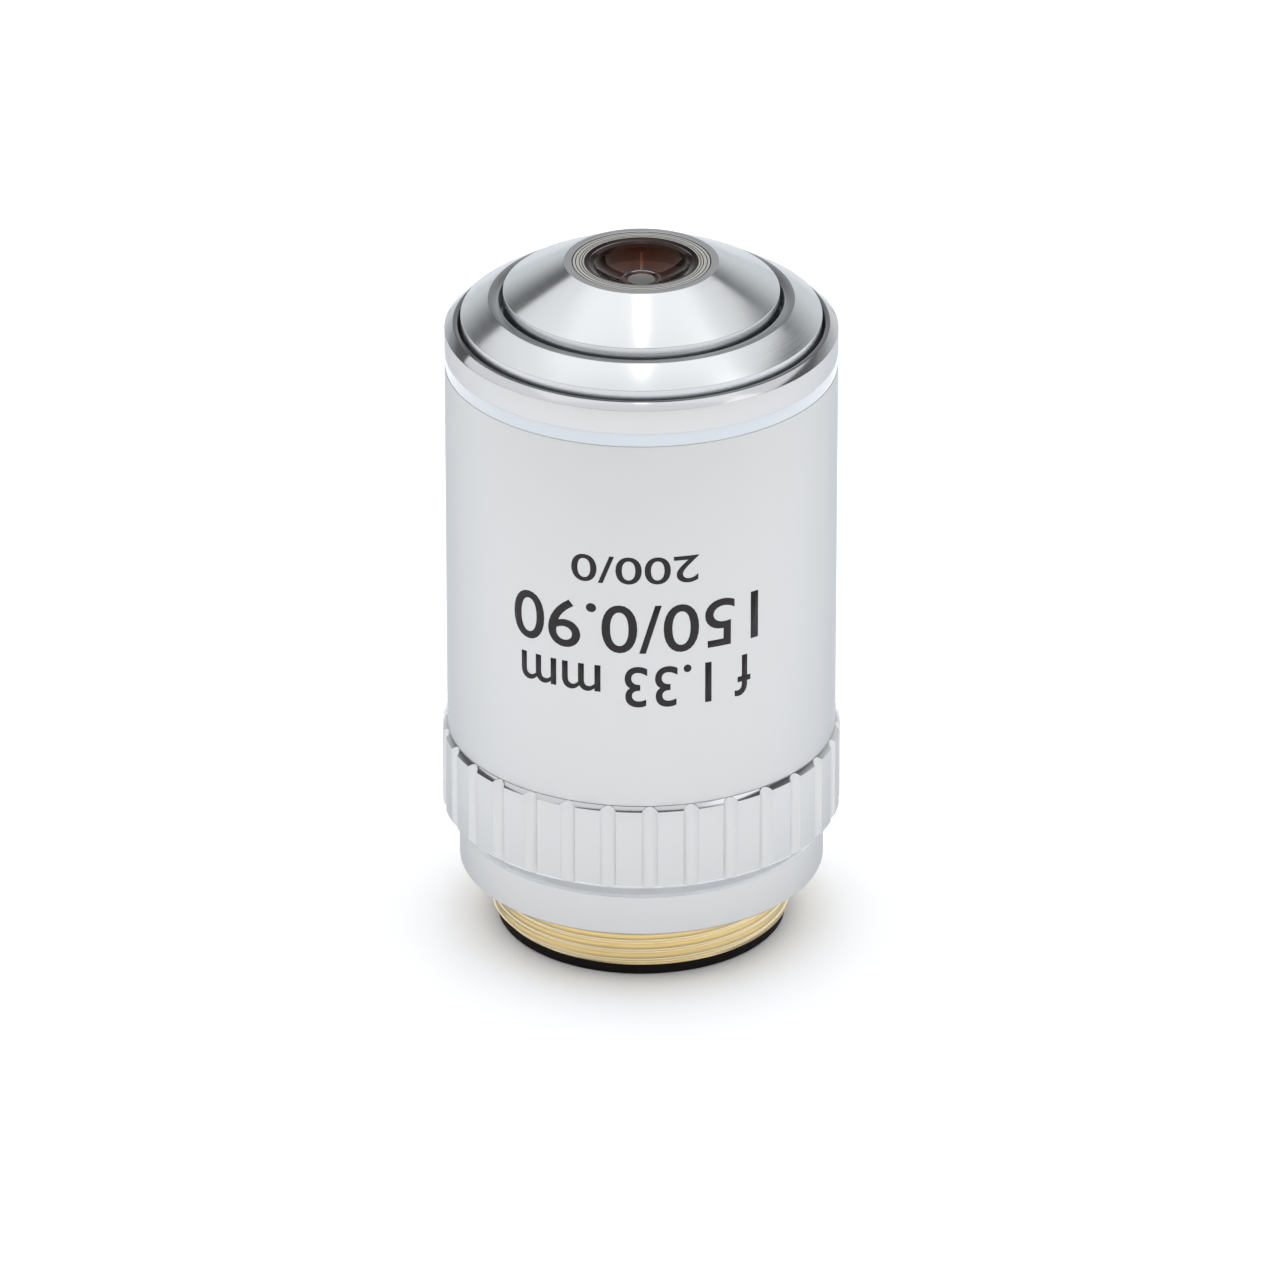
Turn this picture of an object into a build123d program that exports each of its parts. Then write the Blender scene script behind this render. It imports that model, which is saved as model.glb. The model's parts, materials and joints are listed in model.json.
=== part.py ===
"""Microscope objective with a spring-loaded nose, in millimetres.

The optical axis is Z and points towards the specimen. The origin lies on the axis in the plane of the
mounting shoulder, so the thread is below z = 0 and the front lens is at the top.
"""

import os
from math import sqrt

from build123d import *

os.makedirs("parts", exist_ok=True)

# Clearances
seat_gap = 0.02
slide_gap = 0.04
cement_gap = 0.01
stop_gap = 0.02

# Mounting end: the standard thread sets the scale of the whole, and the sleeve follows from its share of it
thread_radius = 10.16
thread_length = 3.52
thread_share_of_sleeve = 0.775
collar_seat_step = 0.24
collar_seat_radius = thread_radius + collar_seat_step
neck_wall = 1.00
neck_radius = collar_seat_radius + neck_wall
neck_height = 0.99
collar_step = 0.94
collar_radius = neck_radius + collar_step
collar_height = 3.05
collar_edge = 0.15
rear_ring_step = 0.38
rear_ring_radius = thread_radius - rear_ring_step
rear_ring_height = 0.82
rear_ring_edge = 0.12
rear_spigot_length = 2.50
rear_slot_reach = 1.30
thread_wall = 1.46
rear_bore_radius = thread_radius - thread_wall
rear_bore_length = 15.52
spigot_wall = 1.70
light_path_radius = rear_bore_radius - spigot_wall

# Outer sleeve, its front chamfer and the band groove
sleeve_radius = thread_radius / thread_share_of_sleeve
sleeve_length = 29.57
sleeve_wall = 0.86
sleeve_bore = sleeve_radius - sleeve_wall
sleeve_front_edge = 0.56
sleeve_front_edge_height = 0.37
sleeve_rear_edge = 0.07
band_width = 0.95
band_from_front = 2.02
band_depth = 0.16
band_recess = 0.02

# Fluted grip ring, a little wider than the sleeve
grip_step = 0.32
grip_radius = sleeve_radius + grip_step
grip_length = 6.14
grip_edge = 0.30
grip_seat_step = 0.20
grip_seat_radius = neck_radius + grip_seat_step
flute_count = 30
flute_radius = 0.65
flute_depth = 0.30
first_flute_angle = -87.6

# Main barrel and the stop ring in its front
relief_depth = 0.35
relief_radius = sleeve_bore - relief_depth
lower_land_length = 4.80
upper_land_length = 2.90
barrel_wall = 0.90
stop_ring_radius = relief_radius - barrel_wall
stop_ring_height = 2.00
stop_ring_wall = 1.30
stop_ring_bore = stop_ring_radius - stop_ring_wall
stop_shoulder = 0.57
spring_bore_radius = stop_ring_radius - stop_shoulder

# Sliding lens barrel
nose_travel = 1.80
travel_reserve = 0.50
barrel_tail_recess = 0.20
barrel_neck_clearance = 0.08
barrel_head_step = 0.42
barrel_head_radius = stop_ring_bore - barrel_neck_clearance - barrel_head_step
barrel_head_length = 1.70
barrel_head_from_front = 4.25
bore_share_of_head = 0.7826
barrel_bore_radius = barrel_head_radius * bore_share_of_head
barrel_land_length = 3.88
nose_spigot_wall = 0.80
nose_spigot_radius = barrel_bore_radius + nose_spigot_wall
nose_spigot_length = 2.50
key_width = 1.50
key_depth = 0.80

# Nose: guide ring, cone and front cell
nose_projection = 4.40
guide_side_gap = 0.22
guide_side_radius = sleeve_bore - guide_side_gap
cone_radius = barrel_head_radius
cone_height = 2.06
cone_gap = 0.30
guide_bore_radius = cone_radius + cone_gap
guide_lip_width = 0.70
guide_lip_radius = guide_bore_radius + guide_lip_width
guide_lip_from_front = 2.69
guide_flank_height = 1.12
guide_mouth_edge = 0.16
guide_mouth_edge_height = 0.06
tip_share_of_cone = 0.5587
cone_tip_radius = cone_radius * tip_share_of_cone
tip_rim_width = 0.53
cell_radius = cone_tip_radius - tip_rim_width
cell_face_depth = 0.03
cell_flange_step = 0.98
cell_flange_radius = barrel_bore_radius - cell_flange_step
cell_shoulder_from_front = 1.85
cell_flange_thickness = 1.50
cell_face_width = 0.82
front_opening_radius = cell_radius - cell_face_width
lip_groove_step = 0.46
lip_groove_radius = cell_radius - lip_groove_step
lip_groove_width = 0.07
lip_groove_depth = 0.05
lip_slope_width = 0.59
lip_slope_depth = 0.21
lip_thickness = 0.05
shim_thickness = 0.15
shim_width = 2.38

# Return spring and guide screw
spring_wire_width = 0.80
spring_wire_height = 0.60
spring_turns = 6.5
screw_radius = 1.00
screw_tip_radius = 0.65
screw_slot_width = 0.35
screw_slot_depth = 0.50
hole_overrun = 1.00

# Front lens
front_lens_clear_radius = front_opening_radius - lip_slope_width
front_lens_rim_width = 0.40
front_lens_half = front_lens_clear_radius + front_lens_rim_width
front_lens_rise = 1.10
front_lens_thickness = 2.00
front_lens_rear_rise = 1.20

# Lens stack, from the front to the rear: each half width is a share of the stack's radius. Each surface has
# its rise from the axis to the rim, positive where its centre lies towards the front, and then come the
# thicknesses on the axis. They are drawn for one length of stack and stretched to the length there is.
drawn_stack_length = 35.32
meniscus_share = 0.724
meniscus_rises = (0.87, 1.78)
meniscus_thicknesses = (2.40,)
front_doublet_share = 0.808
front_doublet_rises = (-0.96, 1.98, 0.42)
front_doublet_thicknesses = (3.60, 1.20)
triplet_share = 0.836
triplet_rises = (-1.17, -2.29, 2.13, -0.61)
triplet_thicknesses = (1.00, 4.80, 1.20)
rear_doublet_share = 0.752
rear_doublet_rises = (-1.28, 1.94, 0.49)
rear_doublet_thicknesses = (3.60, 1.20)
rear_meniscus_share = 0.585
rear_meniscus_rises = (-1.04, -1.95)
rear_meniscus_thicknesses = (2.00,)

# Cells, spacers and rings of the stack
seat_width = 0.50
cell_brim = 0.35
cell_floor = 0.70
aperture_thickness = 0.40
aperture_share = 0.50
spacer_height = 2.00
spacer_wall = 1.10
stack_foot = 5.33
stack_ring_height = 1.20
spanner_slot_width = 1.20
spanner_slot_depth = 0.50

# Heights and sizes worked out from the driving dimensions
rear_face = -thread_length - rear_ring_height
grip_bottom = collar_height + neck_height
grip_top = grip_bottom + grip_length
sleeve_top = grip_top + sleeve_length
nose_height = sleeve_top + nose_projection
band_top = sleeve_top - band_from_front
band_bottom = band_top - band_width
head_top = nose_height - barrel_head_from_front
head_bottom = head_top - barrel_head_length
barrel_front = head_bottom - nose_travel - travel_reserve
stop_bottom = barrel_front - stop_ring_height
spring_bottom = rear_bore_length - thread_length
land_top = stop_bottom - stop_gap
land_bottom = land_top - barrel_land_length
tail_radius = rear_bore_radius - slide_gap
land_radius = spring_bore_radius - slide_gap
spigot_bottom = head_top - nose_spigot_length
cell_shoulder = nose_height - cell_shoulder_from_front
cell_bottom = cell_shoulder - cell_flange_thickness
stack_top = cell_bottom - shim_thickness
stack_radius = barrel_bore_radius - seat_gap
stack_scale = (stack_top - stack_foot) / drawn_stack_length


def curve_of(rise, radius):
    """Radius of the sphere that rises by this much from its vertex to the given radius."""
    return (radius**2 + rise**2) / (2 * rise)


def surface(vertex, curve, radius):
    """Height of a spherical surface; a positive curve has its centre towards the front."""
    rise = abs(curve) - sqrt(curve**2 - radius**2)
    return vertex + rise if curve > 0 else vertex - rise


def glass(front, front_curve, rear, rear_curve, half_width):
    """A round lens element between two spherical surfaces."""
    middle = half_width / 2
    with BuildPart() as element:
        with BuildSketch(Plane.XZ):
            with BuildLine():
                front_arc = ThreePointArc(
                    (0, front),
                    (middle, surface(front, front_curve, middle)),
                    (half_width, surface(front, front_curve, half_width)),
                )
                rear_arc = ThreePointArc(
                    (half_width, surface(rear, rear_curve, half_width)),
                    (middle, surface(rear, rear_curve, middle)),
                    (0, rear),
                )
                Line(front_arc @ 1, rear_arc @ 0)
                Line(rear_arc @ 1, front_arc @ 0)
            make_face()
        revolve(axis=Axis.Z)
    return element.part


def ring(outer, inner, bottom, top):
    """A plain turned ring."""
    with BuildPart() as band:
        with BuildSketch(Plane.XY.offset(bottom)):
            Circle(outer)
            Circle(inner, mode=Mode.SUBTRACT)
        extrude(amount=top - bottom)
    return band.part


def lens_cell(top, bottom, half_width, rear, rear_curve):
    """A turned cell with a bore for the lens and a narrower seat that its rear surface rests on."""
    seat_radius = half_width - seat_width
    rim = surface(rear, rear_curve, half_width)
    seat = min(rim, surface(rear, rear_curve, seat_radius)) - seat_gap
    with BuildPart() as cell:
        with BuildSketch(Plane.XY.offset(bottom)):
            Circle(stack_radius)
            Circle(seat_radius, mode=Mode.SUBTRACT)
        extrude(amount=top - bottom)
        with BuildSketch(Plane.XY.offset(seat)):
            Circle(half_width + seat_gap)
        extrude(amount=top - seat, mode=Mode.SUBTRACT)
    return cell.part


def save(part, name):
    """Name a finished piece and write it."""
    part.label = name
    export_step(part, f"parts/{name}.step")


def lens_group(top, share, rises, thicknesses, cell_name, glass_names):
    """Elements cemented one behind the other, in a cell under the height top; gives the cell's bottom."""
    half_width = stack_radius * share
    curves = [curve_of(rise * stack_scale, half_width) for rise in rises]
    vertex = top - cell_brim - max(surface(0, curves[0], half_width), 0)
    for name, front_curve, rear_curve, thickness in zip(glass_names, curves, curves[1:], thicknesses):
        rear = vertex - thickness * stack_scale
        save(glass(vertex, front_curve, rear, rear_curve, half_width), name)
        vertex = rear - cement_gap
    bottom = min(rear, surface(rear, rear_curve, half_width)) - cell_floor
    save(lens_cell(top, bottom, half_width, rear, rear_curve), cell_name)
    return bottom


# Main barrel: brass tube with the mounting thread, the spring bore and two lands for the sleeve
with BuildPart() as main_barrel:
    with BuildSketch(Plane.XZ):
        with BuildLine():
            land_radius_outer = sleeve_bore - seat_gap
            Polyline(
                (rear_bore_radius, -thread_length),
                (thread_radius, -thread_length),
                (thread_radius, 0),
                (collar_seat_radius, 0),
                (collar_seat_radius, grip_bottom),
                (grip_seat_radius, grip_bottom),
                (grip_seat_radius, grip_top),
                (land_radius_outer, grip_top),
                (land_radius_outer, grip_top + lower_land_length),
                (relief_radius, grip_top + lower_land_length),
                (relief_radius, barrel_front - upper_land_length),
                (land_radius_outer, barrel_front - upper_land_length),
                (land_radius_outer, barrel_front),
                (stop_ring_radius, barrel_front),
                (stop_ring_radius, stop_bottom),
                (spring_bore_radius, stop_bottom),
                (spring_bore_radius, spring_bottom),
                (rear_bore_radius, spring_bottom),
                close=True,
            )
        make_face()
    revolve(axis=Axis.Z)
    # Tapped hole for the guide screw, through the wall beside the barrel's land
    screw_height = land_bottom + barrel_land_length / 3
    with BuildSketch(Plane.YZ.offset(spring_bore_radius - slide_gap)):
        with Locations((0, screw_height)):
            Circle(screw_radius)
    extrude(amount=relief_radius - spring_bore_radius + hole_overrun, mode=Mode.SUBTRACT)
save(main_barrel.part, "main_barrel")

# Shoulder collar: its lower face is the mounting shoulder, and its neck carries the grip ring
with BuildPart() as shoulder_collar:
    with BuildSketch():
        Circle(collar_radius)
    extrude(amount=collar_height)
    chamfer(shoulder_collar.edges().filter_by(GeomType.CIRCLE), length=collar_edge)
    with BuildSketch(Plane.XY.offset(collar_height)):
        Circle(neck_radius)
    extrude(amount=neck_height)
    with BuildSketch():
        Circle(collar_seat_radius + seat_gap)
    extrude(amount=grip_bottom, mode=Mode.SUBTRACT)
save(shoulder_collar.part, "shoulder_collar")

# Grip ring: chamfered at both ends, with round-bottomed flutes milled right through its length
with BuildPart() as grip_ring:
    with BuildSketch(Plane.XY.offset(grip_bottom)):
        Circle(grip_radius)
    extrude(amount=grip_length)
    chamfer(grip_ring.edges().filter_by(GeomType.CIRCLE), length=grip_edge)
    with BuildSketch(Plane.XY.offset(grip_bottom)):
        flute_centre = grip_radius - flute_depth + flute_radius
        with PolarLocations(flute_centre, flute_count, start_angle=first_flute_angle):
            Circle(flute_radius)
        Circle(grip_seat_radius + seat_gap)
    extrude(amount=grip_length, mode=Mode.SUBTRACT)
save(grip_ring.part, "grip_ring")

# Outer sleeve: thin satin tube with a polished front chamfer and a groove for the colour band
with BuildPart() as outer_sleeve:
    with BuildSketch(Plane.XZ):
        with BuildLine():
            groove_radius = sleeve_radius - band_depth
            Polyline(
                (sleeve_bore, grip_top),
                (sleeve_radius - sleeve_rear_edge, grip_top),
                (sleeve_radius, grip_top + sleeve_rear_edge),
                (sleeve_radius, band_bottom),
                (groove_radius, band_bottom),
                (groove_radius, band_top),
                (sleeve_radius, band_top),
                (sleeve_radius, sleeve_top - sleeve_front_edge_height),
                (sleeve_radius - sleeve_front_edge, sleeve_top),
                (sleeve_bore, sleeve_top),
                close=True,
            )
        make_face()
    revolve(axis=Axis.Z)
save(outer_sleeve.part, "outer_sleeve")

# Colour band: enamel ring that fills the groove almost flush
colour_band = ring(sleeve_radius - band_recess, sleeve_radius - band_depth, band_bottom, band_top)
save(colour_band, "colour_band")

# Rear ring: flange that the objective stands on, spigot in the barrel and two spanner slots
with BuildPart() as rear_ring:
    with BuildSketch(Plane.XY.offset(rear_face)):
        Circle(rear_ring_radius)
    extrude(amount=rear_ring_height)
    chamfer(rear_ring.edges().sort_by(Axis.Z)[0], length=rear_ring_edge)
    with BuildSketch(Plane.XY.offset(-thread_length)):
        Circle(rear_bore_radius - seat_gap)
    extrude(amount=rear_spigot_length)
    with BuildSketch(Plane.XY.offset(rear_face)):
        Circle(light_path_radius)
    extrude(amount=rear_ring_height + rear_spigot_length, mode=Mode.SUBTRACT)
    with BuildSketch(Plane.XY.offset(rear_face)):
        Rectangle(spanner_slot_width, 2 * (light_path_radius + rear_slot_reach))
    extrude(amount=spanner_slot_depth, mode=Mode.SUBTRACT)
save(rear_ring.part, "rear_ring")

# Stop ring: screwed into the front of the main barrel, with two spanner slots in its face
with BuildPart() as stop_ring:
    with BuildSketch(Plane.XY.offset(stop_bottom)):
        Circle(stop_ring_radius - seat_gap)
        Circle(stop_ring_bore, mode=Mode.SUBTRACT)
    extrude(amount=stop_ring_height)
    with BuildSketch(Plane.XY.offset(barrel_front)):
        Rectangle(spanner_slot_width, 2 * stop_ring_radius)
    extrude(amount=-spanner_slot_depth, mode=Mode.SUBTRACT)
save(stop_ring.part, "stop_ring")

# Guide screw: slotted grub screw in the main barrel, its tip in the keyway of the sliding barrel
with BuildPart() as guide_screw:
    screw_head = relief_radius - seat_gap
    with BuildSketch(Plane.YZ.offset(screw_head)):
        with Locations((0, screw_height)):
            Circle(screw_radius - seat_gap)
    extrude(amount=-(screw_head - spring_bore_radius))
    with BuildSketch(Plane.YZ.offset(spring_bore_radius)):
        with Locations((0, screw_height)):
            Circle(screw_tip_radius)
    extrude(amount=-(key_depth - 2 * slide_gap))
    with BuildSketch(Plane.YZ.offset(screw_head)):
        with Locations((0, screw_height)):
            Rectangle(2 * screw_radius, screw_slot_width)
    extrude(amount=-screw_slot_depth, mode=Mode.SUBTRACT)
save(guide_screw.part, "guide_screw")

# Front guide: bevelled ring on the barrel's head, with a dark gap left round the cone
with BuildPart() as front_guide:
    with BuildSketch(Plane.XZ):
        with BuildLine():
            lip_height = nose_height - guide_lip_from_front
            Polyline(
                (barrel_head_radius + seat_gap, head_bottom),
                (guide_side_radius, head_bottom),
                (guide_side_radius, lip_height - guide_flank_height),
                (guide_lip_radius, lip_height),
                (guide_bore_radius + guide_mouth_edge, lip_height),
                (guide_bore_radius, lip_height - guide_mouth_edge_height),
                (guide_bore_radius, head_top),
                (barrel_head_radius + seat_gap, head_top),
                close=True,
            )
        make_face()
    revolve(axis=Axis.Z)
save(front_guide.part, "front_guide")

# Nose cone: polished cone with a spigot in the barrel and a stepped bore for the front cell
with BuildPart() as nose_cone:
    with BuildSketch(Plane.XZ):
        with BuildLine():
            Polyline(
                (barrel_bore_radius, spigot_bottom),
                (nose_spigot_radius - seat_gap, spigot_bottom),
                (nose_spigot_radius - seat_gap, head_top),
                (cone_radius, head_top),
                (cone_radius, nose_height - cone_height),
                (cone_tip_radius, nose_height),
                (cell_radius, nose_height),
                (cell_radius, cell_shoulder),
                (cell_flange_radius, cell_shoulder),
                (cell_flange_radius, cell_bottom),
                (barrel_bore_radius, cell_bottom),
                close=True,
            )
        make_face()
    revolve(axis=Axis.Z)
save(nose_cone.part, "nose_cone")

# Front lens: thick concave element behind the sloping lip of its cell, with a flat rim round the hollow
cell_face = nose_height - cell_face_depth
lens_rim = cell_face - lip_slope_depth - lip_thickness - seat_gap
front_vertex = lens_rim - front_lens_rise
rear_vertex = front_vertex - front_lens_thickness
front_curve = curve_of(front_lens_rise, front_lens_clear_radius)
rear_curve = curve_of(front_lens_rear_rise, front_lens_half)
front_middle = front_lens_clear_radius / 2
rear_middle = front_lens_half / 2
with BuildPart() as front_lens:
    with BuildSketch(Plane.XZ):
        with BuildLine():
            hollow = ThreePointArc(
                (0, front_vertex),
                (front_middle, surface(front_vertex, front_curve, front_middle)),
                (front_lens_clear_radius, lens_rim),
            )
            rear_arc = ThreePointArc(
                (front_lens_half, rear_vertex + front_lens_rear_rise),
                (rear_middle, surface(rear_vertex, rear_curve, rear_middle)),
                (0, rear_vertex),
            )
            Polyline(hollow @ 1, (front_lens_half, lens_rim), rear_arc @ 0)
            Line(rear_arc @ 1, hollow @ 0)
        make_face()
    revolve(axis=Axis.Z)
save(front_lens.part, "front_lens")

# Front cell: pale ring round the lens, with a fine groove in its face and a flange behind the cone
with BuildPart() as front_cell:
    lens_seat_radius = front_lens_half - seat_width
    lens_seat = surface(rear_vertex, rear_curve, lens_seat_radius) - seat_gap
    with BuildSketch(Plane.XZ):
        with BuildLine():
            groove_inside = lip_groove_radius - lip_groove_width
            Polyline(
                (front_lens_clear_radius, lens_rim + seat_gap),
                (front_lens_clear_radius, cell_face - lip_slope_depth),
                (front_opening_radius, cell_face),
                (groove_inside, cell_face),
                (groove_inside, cell_face - lip_groove_depth),
                (lip_groove_radius, cell_face - lip_groove_depth),
                (lip_groove_radius, cell_face),
                (cell_radius - seat_gap, cell_face),
                (cell_radius - seat_gap, cell_shoulder),
                (cell_flange_radius - seat_gap, cell_shoulder),
                (cell_flange_radius - seat_gap, cell_bottom),
                (lens_seat_radius, cell_bottom),
                (lens_seat_radius, lens_seat),
                (front_lens_half + seat_gap, lens_seat),
                (front_lens_half + seat_gap, lens_rim + seat_gap),
                close=True,
            )
        make_face()
    revolve(axis=Axis.Z)
save(front_cell.part, "front_cell")

# Parfocal shim: thin ring between the nose and the stack that sets the working height
save(ring(stack_radius, stack_radius - shim_width, stack_top, cell_bottom), "parfocal_shim")

# Lens stack: each group follows the one in front of it down the bore of the lens barrel
meniscus_bottom = lens_group(
    stack_top, meniscus_share, meniscus_rises, meniscus_thicknesses,
    "meniscus_cell", ("second_meniscus",),
)
front_doublet_bottom = lens_group(
    meniscus_bottom, front_doublet_share, front_doublet_rises, front_doublet_thicknesses,
    "front_doublet_cell", ("front_doublet_crown", "front_doublet_flint"),
)
triplet_bottom = lens_group(
    front_doublet_bottom, triplet_share, triplet_rises, triplet_thicknesses,
    "triplet_cell", ("triplet_front_flint", "triplet_crown", "triplet_rear_flint"),
)

# Aperture stop and the two spacers round the rear doublet
aperture_bottom = triplet_bottom - aperture_thickness
aperture_radius = stack_radius * aperture_share
save(ring(stack_radius, aperture_radius, aperture_bottom, triplet_bottom), "aperture_stop")
front_spacer_bottom = aperture_bottom - spacer_height * stack_scale
save(ring(stack_radius, stack_radius - spacer_wall, front_spacer_bottom, aperture_bottom), "front_spacer")
rear_doublet_bottom = lens_group(
    front_spacer_bottom, rear_doublet_share, rear_doublet_rises, rear_doublet_thicknesses,
    "rear_doublet_cell", ("rear_doublet_crown", "rear_doublet_flint"),
)
rear_spacer_bottom = rear_doublet_bottom - spacer_height * stack_scale
save(ring(stack_radius, stack_radius - spacer_wall, rear_spacer_bottom, rear_doublet_bottom), "rear_spacer")
rear_meniscus_bottom = lens_group(
    rear_spacer_bottom, rear_meniscus_share, rear_meniscus_rises, rear_meniscus_thicknesses,
    "rear_meniscus_cell", ("rear_meniscus",),
)

# Stack ring: screwed in behind the last cell, with two spanner slots in its rear face
stack_ring_bottom = rear_meniscus_bottom - stack_ring_height
with BuildPart() as stack_ring:
    with BuildSketch(Plane.XY.offset(stack_ring_bottom)):
        Circle(stack_radius)
        Circle(stack_radius * rear_meniscus_share, mode=Mode.SUBTRACT)
    extrude(amount=stack_ring_height)
    with BuildSketch(Plane.XY.offset(stack_ring_bottom)):
        Rectangle(spanner_slot_width, 2 * stack_radius)
    extrude(amount=spanner_slot_depth, mode=Mode.SUBTRACT)
save(stack_ring.part, "stack_ring")

# Lens barrel: sliding tube with a guide land, a neck through the stop ring and a head for the nose
with BuildPart() as lens_barrel:
    with BuildSketch(Plane.XZ):
        with BuildLine():
            barrel_tail = stack_ring_bottom - barrel_tail_recess
            barrel_neck_radius = stop_ring_bore - barrel_neck_clearance
            Polyline(
                (barrel_bore_radius, barrel_tail),
                (tail_radius, barrel_tail),
                (tail_radius, land_bottom),
                (land_radius, land_bottom),
                (land_radius, land_top),
                (barrel_neck_radius, land_top),
                (barrel_neck_radius, head_bottom),
                (barrel_head_radius, head_bottom),
                (barrel_head_radius, head_top),
                (nose_spigot_radius, head_top),
                (nose_spigot_radius, spigot_bottom),
                (barrel_bore_radius, spigot_bottom),
                close=True,
            )
        make_face()
    revolve(axis=Axis.Z)
    with BuildSketch(Plane.XY.offset(land_bottom)):
        with Locations((spring_bore_radius, 0)):
            Rectangle(2 * key_depth, key_width)
    extrude(amount=barrel_land_length, mode=Mode.SUBTRACT)
save(lens_barrel.part, "lens_barrel")

# Return spring: flat wire between the step in the main barrel and the land of the lens barrel
with BuildPart() as return_spring:
    coil_start = spring_bottom + spring_wire_height / 2 + seat_gap
    coil_height = land_bottom - spring_wire_height / 2 - seat_gap - coil_start
    coil_radius = (tail_radius + spring_bore_radius) / 2
    with BuildLine(Plane.XY.offset(coil_start)) as coil:
        Helix(coil_height / spring_turns, coil_height, coil_radius)
    with BuildSketch(Plane(origin=coil.line @ 0, x_dir=(1, 0, 0), z_dir=coil.line % 0)):
        Rectangle(spring_wire_width, spring_wire_height)
    sweep(is_frenet=True)
save(return_spring.part, "return_spring")
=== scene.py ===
import json
from math import cos, pi, radians, sin, sqrt

import bpy
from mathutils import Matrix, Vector


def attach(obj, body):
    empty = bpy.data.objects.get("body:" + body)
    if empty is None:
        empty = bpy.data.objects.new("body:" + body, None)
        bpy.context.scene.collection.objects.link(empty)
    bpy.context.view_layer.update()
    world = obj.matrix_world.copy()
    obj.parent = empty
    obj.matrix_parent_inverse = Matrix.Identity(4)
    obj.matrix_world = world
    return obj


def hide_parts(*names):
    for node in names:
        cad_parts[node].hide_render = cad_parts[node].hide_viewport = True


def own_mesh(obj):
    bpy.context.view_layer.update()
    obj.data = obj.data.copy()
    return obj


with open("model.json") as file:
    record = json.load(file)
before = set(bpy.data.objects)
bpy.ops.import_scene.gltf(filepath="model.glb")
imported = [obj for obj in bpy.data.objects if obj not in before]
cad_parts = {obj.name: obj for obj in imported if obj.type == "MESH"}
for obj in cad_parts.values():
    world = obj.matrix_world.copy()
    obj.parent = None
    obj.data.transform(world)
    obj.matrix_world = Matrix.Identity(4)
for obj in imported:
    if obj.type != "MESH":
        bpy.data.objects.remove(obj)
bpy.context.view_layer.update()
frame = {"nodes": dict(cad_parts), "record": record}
mm = 0.001
axisRadius = 0.0002          # radius in mm that stands for the axis, merged to one point afterwards
print("frame loaded")


# Modelling helpers

def clearSelection():
    if bpy.context.object and bpy.context.object.mode != "OBJECT":
        bpy.ops.object.mode_set(mode="OBJECT")
    bpy.ops.object.select_all(action="DESELECT")


def placeInMesh(piece):
    clearSelection()
    piece.select_set(True)
    bpy.context.view_layer.objects.active = piece
    bpy.ops.object.transform_apply(location=True, rotation=True, scale=True)


def turnPiece(name, profile, segments=256, closed=True):
    # profile is a list of (radius, height) in mm, taken once round the section of a turned part
    clearSelection()
    radius, height = profile[0]
    bpy.ops.mesh.primitive_circle_add(vertices=segments, radius=radius * mm,
                                      location=(0, 0, height * mm))
    piece = bpy.context.object
    piece.name = name
    bpy.ops.object.mode_set(mode="EDIT")
    bpy.ops.mesh.select_all(action="SELECT")
    rest = profile[1:] + ([profile[0]] if closed else [])
    for nextRadius, nextHeight in rest:
        rise = (nextHeight - height) * mm
        bpy.ops.mesh.extrude_edges_move(TRANSFORM_OT_translate={"value": (0, 0, rise)})
        growth = nextRadius / radius
        bpy.ops.transform.resize(value=(growth, growth, 1), center_override=(0, 0, nextHeight * mm))
        radius, height = nextRadius, nextHeight
    bpy.ops.mesh.select_all(action="SELECT")
    bpy.ops.mesh.remove_doubles(threshold=0.001 * mm)
    bpy.ops.mesh.normals_make_consistent(inside=False)
    placeInMesh(piece)
    return piece


def applyModifier(piece, kind, **settings):
    clearSelection()
    piece.select_set(True)
    bpy.context.view_layer.objects.active = piece
    modifier = piece.modifiers.new(kind.lower(), kind)
    for key, value in settings.items():
        setattr(modifier, key, value)
    bpy.ops.object.modifier_apply(modifier=modifier.name)


def softenEdges(piece, width, segments=3, angle=25):
    applyModifier(piece, "BEVEL", width=width * mm, segments=segments, limit_method="ANGLE",
                  angle_limit=radians(angle))


def smoothByAngle(piece, angle=35):
    clearSelection()
    piece.select_set(True)
    bpy.context.view_layer.objects.active = piece
    bpy.ops.object.shade_smooth_by_angle(angle=radians(angle))


def arcHeight(vertex, curve, radius):
    return vertex + curve - sqrt(curve ** 2 - radius ** 2)


def arcPoints(vertex, curve, inner, outer, steps):
    radii = [inner + (outer - inner) * step / steps for step in range(steps + 1)]
    return [(radius, arcHeight(vertex, curve, radius)) for radius in radii]


def offAxis(point):
    return Vector(point.xy).length


# Node helpers

def addNode(tree, kind, place, **settings):
    node = tree.nodes.new(kind)
    node.location = place
    for key, value in settings.items():
        setattr(node, key, value)
    return node


def startGroup(name, inputs, outputs):
    group = bpy.data.node_groups.new(name, "ShaderNodeTree")
    for label, value in inputs.items():
        socket = group.interface.new_socket(label, in_out="INPUT", socket_type="NodeSocketFloat")
        socket.default_value = value
    for label, kind in outputs.items():
        group.interface.new_socket(label, in_out="OUTPUT", socket_type=kind)
    start = addNode(group, "NodeGroupInput", (-900, 0))
    end = addNode(group, "NodeGroupOutput", (700, 0))
    return group, start, end


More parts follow.
